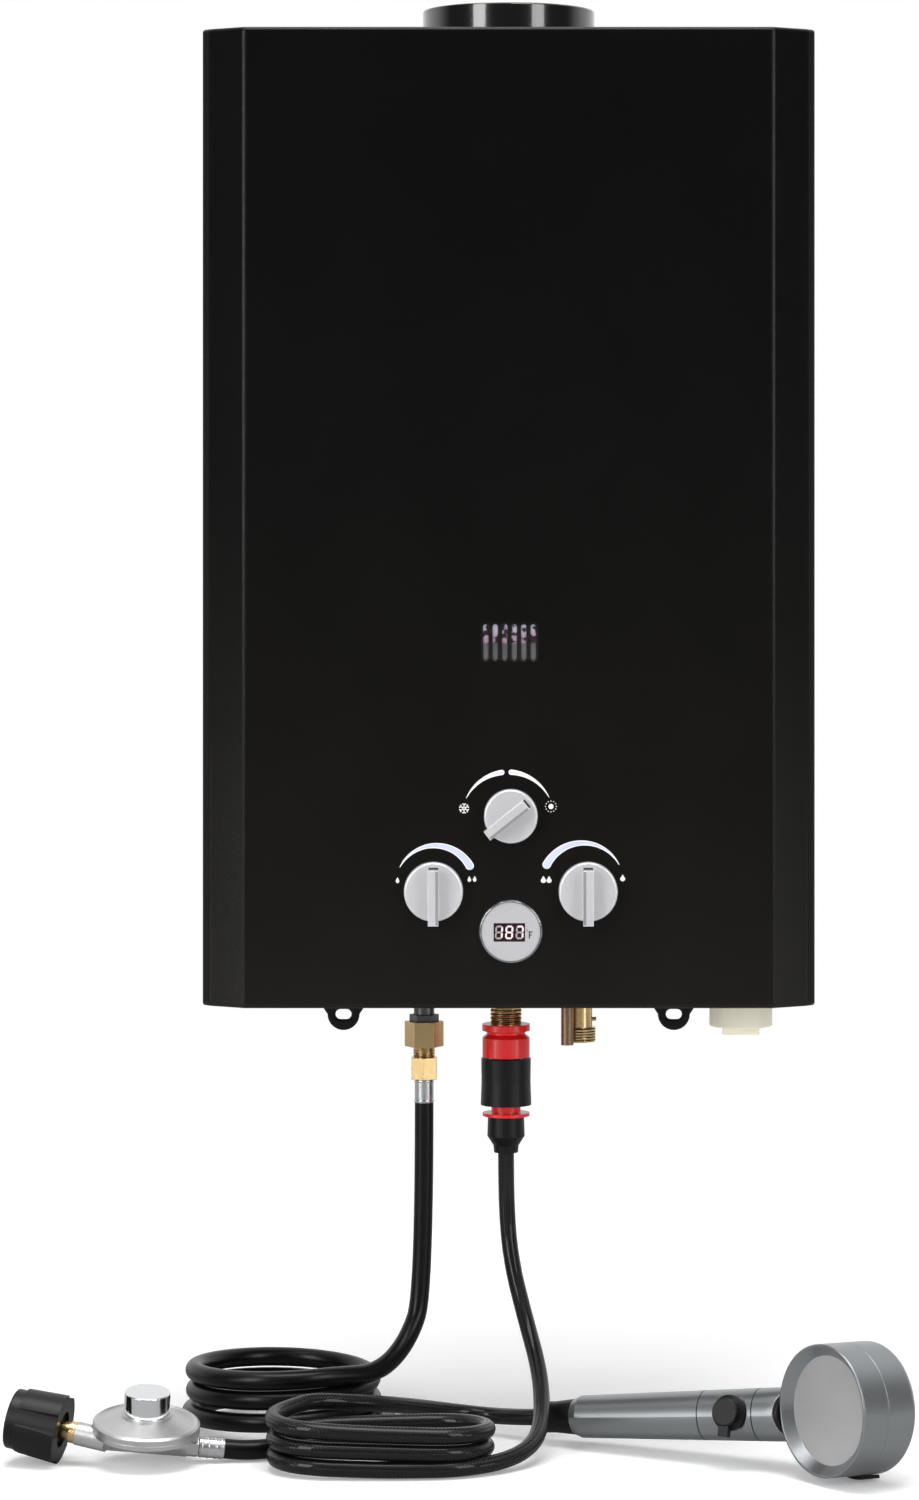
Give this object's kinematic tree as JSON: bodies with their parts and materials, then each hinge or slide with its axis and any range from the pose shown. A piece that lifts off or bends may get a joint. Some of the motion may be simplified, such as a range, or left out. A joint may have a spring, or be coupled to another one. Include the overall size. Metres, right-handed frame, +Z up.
{
  "type": "portable propane water heater",
  "caption": "Wall-hung gas water heater with a black steel casing, round flue, front control knobs, gas hose with regulator and a hand shower on a coiled hose.",
  "frame": {"origin": "centre of the back plate's rear face, on the wall, at mid height of the casing", "axes": "+Z up, +X to the right seen from the front, -Y towards the viewer, +Y into the wall"},
  "size_m": [0.5496, 0.2725, 0.9025],
  "materials": {
    "black_cover": "satin black powder coat",
    "gloss_black": "gloss black enamel",
    "zinc_steel": "zinc plated",
    "mica": "clear sheet",
    "copper": "bare copper",
    "bare_steel": "stainless",
    "cast_aluminium": "as cast",
    "brass": "machined brass",
    "ceramic": "glazed white",
    "black_plastic": "moulded black",
    "cream_plastic": "moulded cream",
    "red_plastic": "moulded red",
    "hose_rubber": "smooth black hose",
    "braided_hose": "clear coated black braid",
    "zinc_casting": "die cast",
    "bright_chrome": "bright chrome",
    "satin_silver": "satin silver coat",
    "gunmetal": "satin grey coat",
    "spring_steel": "spring steel",
    "cell_wrap": "plain wrap"
  },
  "bodies": {
    "heater": {"back_plate": "black_cover", "front_cover": "black_cover", "cover_screws": "gloss_black", "inspection_window": "mica", "draft_hood": "bare_steel", "flue_collar": "gloss_black", "exchanger_shell": "copper", "exchanger_fins": "copper", "exchanger_tubes": "copper", "burner_bars": "bare_steel", "burner_manifold": "cast_aluminium", "spark_electrodes": "ceramic", "gas_valve": "cast_aluminium", "gas_solenoid": "zinc_steel", "water_valve": "brass", "flow_microswitch": "black_plastic", "igniter_box": "black_plastic", "water_pipes": "copper", "hot_outlet_fitting": "brass", "cold_inlet_fitting": "brass", "relief_tube": "brass", "gas_inlet_tube": "zinc_steel", "gas_inlet_nut": "brass", "gas_adapter": "brass", "gas_hose_nut": "brass", "gas_hose_ferrules": "zinc_steel", "gas_hose_drop": "hose_rubber", "gas_hose_coil": "hose_rubber", "gas_hose_tail": "hose_rubber", "regulator_body": "zinc_casting", "regulator_bonnet": "zinc_casting", "regulator_cap": "bright_chrome", "regulator_spring": "spring_steel", "regulator_inlet": "brass", "tap_adapter": "red_plastic", "hose_coupling_core": "red_plastic", "hose_clamp_nut": "black_plastic", "water_hose_drop": "braided_hose", "water_hose_coil": "braided_hose", "water_hose_lead": "braided_hose", "shower_connector": "black_plastic", "shower_handle": "gunmetal", "shower_head_shell": "gunmetal", "shower_face_ring": "gunmetal", "shower_spray_plate": "bright_chrome", "display_bezel": "bright_chrome", "display_module": "satin_silver", "battery_case": "cream_plastic", "battery_cells": "cell_wrap"},
    "season_control": {"season_knob": "satin_silver", "season_spindle": "brass"},
    "gas_control": {"gas_knob": "satin_silver", "gas_spindle": "brass"},
    "water_control": {"water_knob": "satin_silver", "water_spindle": "brass"},
    "battery_door": {"battery_cap": "cream_plastic"},
    "coupling_collar": {"quick_collar": "black_plastic"},
    "cylinder_hand_nut": {"cylinder_nut": "black_plastic"},
    "shower_shutoff": {"shower_valve_knob": "black_plastic"},
    "shower_mode": {"shower_mode_tab": "black_plastic"}
  },
  "joints": [
    {"name": "season_knob_turn", "type": "hinge", "parent": "heater", "child": "season_control", "pos_m": [0.0013, -0.15, -0.184], "axis": [0, -1, 0], "range_deg": [-11, 116]},
    {"name": "gas_knob_turn", "type": "hinge", "parent": "heater", "child": "gas_control", "pos_m": [-0.04635, -0.15, -0.2305], "axis": [0, -1, 0], "range_deg": [-62, 62]},
    {"name": "water_knob_turn", "type": "hinge", "parent": "heater", "child": "water_control", "pos_m": [0.04895, -0.15, -0.2305], "axis": [0, -1, 0], "range_deg": [-62, 62]},
    {"name": "battery_cap_twist", "type": "hinge", "parent": "heater", "child": "battery_door", "pos_m": [0.1472, -0.075, -0.31], "axis": [0, 0, -1], "range_deg": [0, 90]},
    {"name": "quick_collar_slide", "type": "slide", "parent": "heater", "child": "coupling_collar", "axis": [0, 0, -1], "range_m": [0, 0.0048], "stiffness_N_per_m": 400, "springref_m": -0.01},
    {"name": "cylinder_nut_spin", "type": "hinge", "parent": "heater", "child": "cylinder_hand_nut", "pos_m": [-0.25026, -0.18535, -0.56065], "axis": [-0.965, 0.1843, 0.1865], "continuous": true},
    {"name": "shower_valve_turn", "type": "hinge", "parent": "heater", "child": "shower_shutoff", "pos_m": [0.14113, -0.18301, -0.54692], "axis": [-0.4778, -0.8431, 0.2468], "range_deg": [0, 90]},
    {"name": "shower_mode_turn", "type": "hinge", "parent": "heater", "child": "shower_mode", "pos_m": [0.21362, -0.22112, -0.53494], "axis": [-0.8074, -0.5871, 0.0577], "range_deg": [-30, 30]}
  ]
}
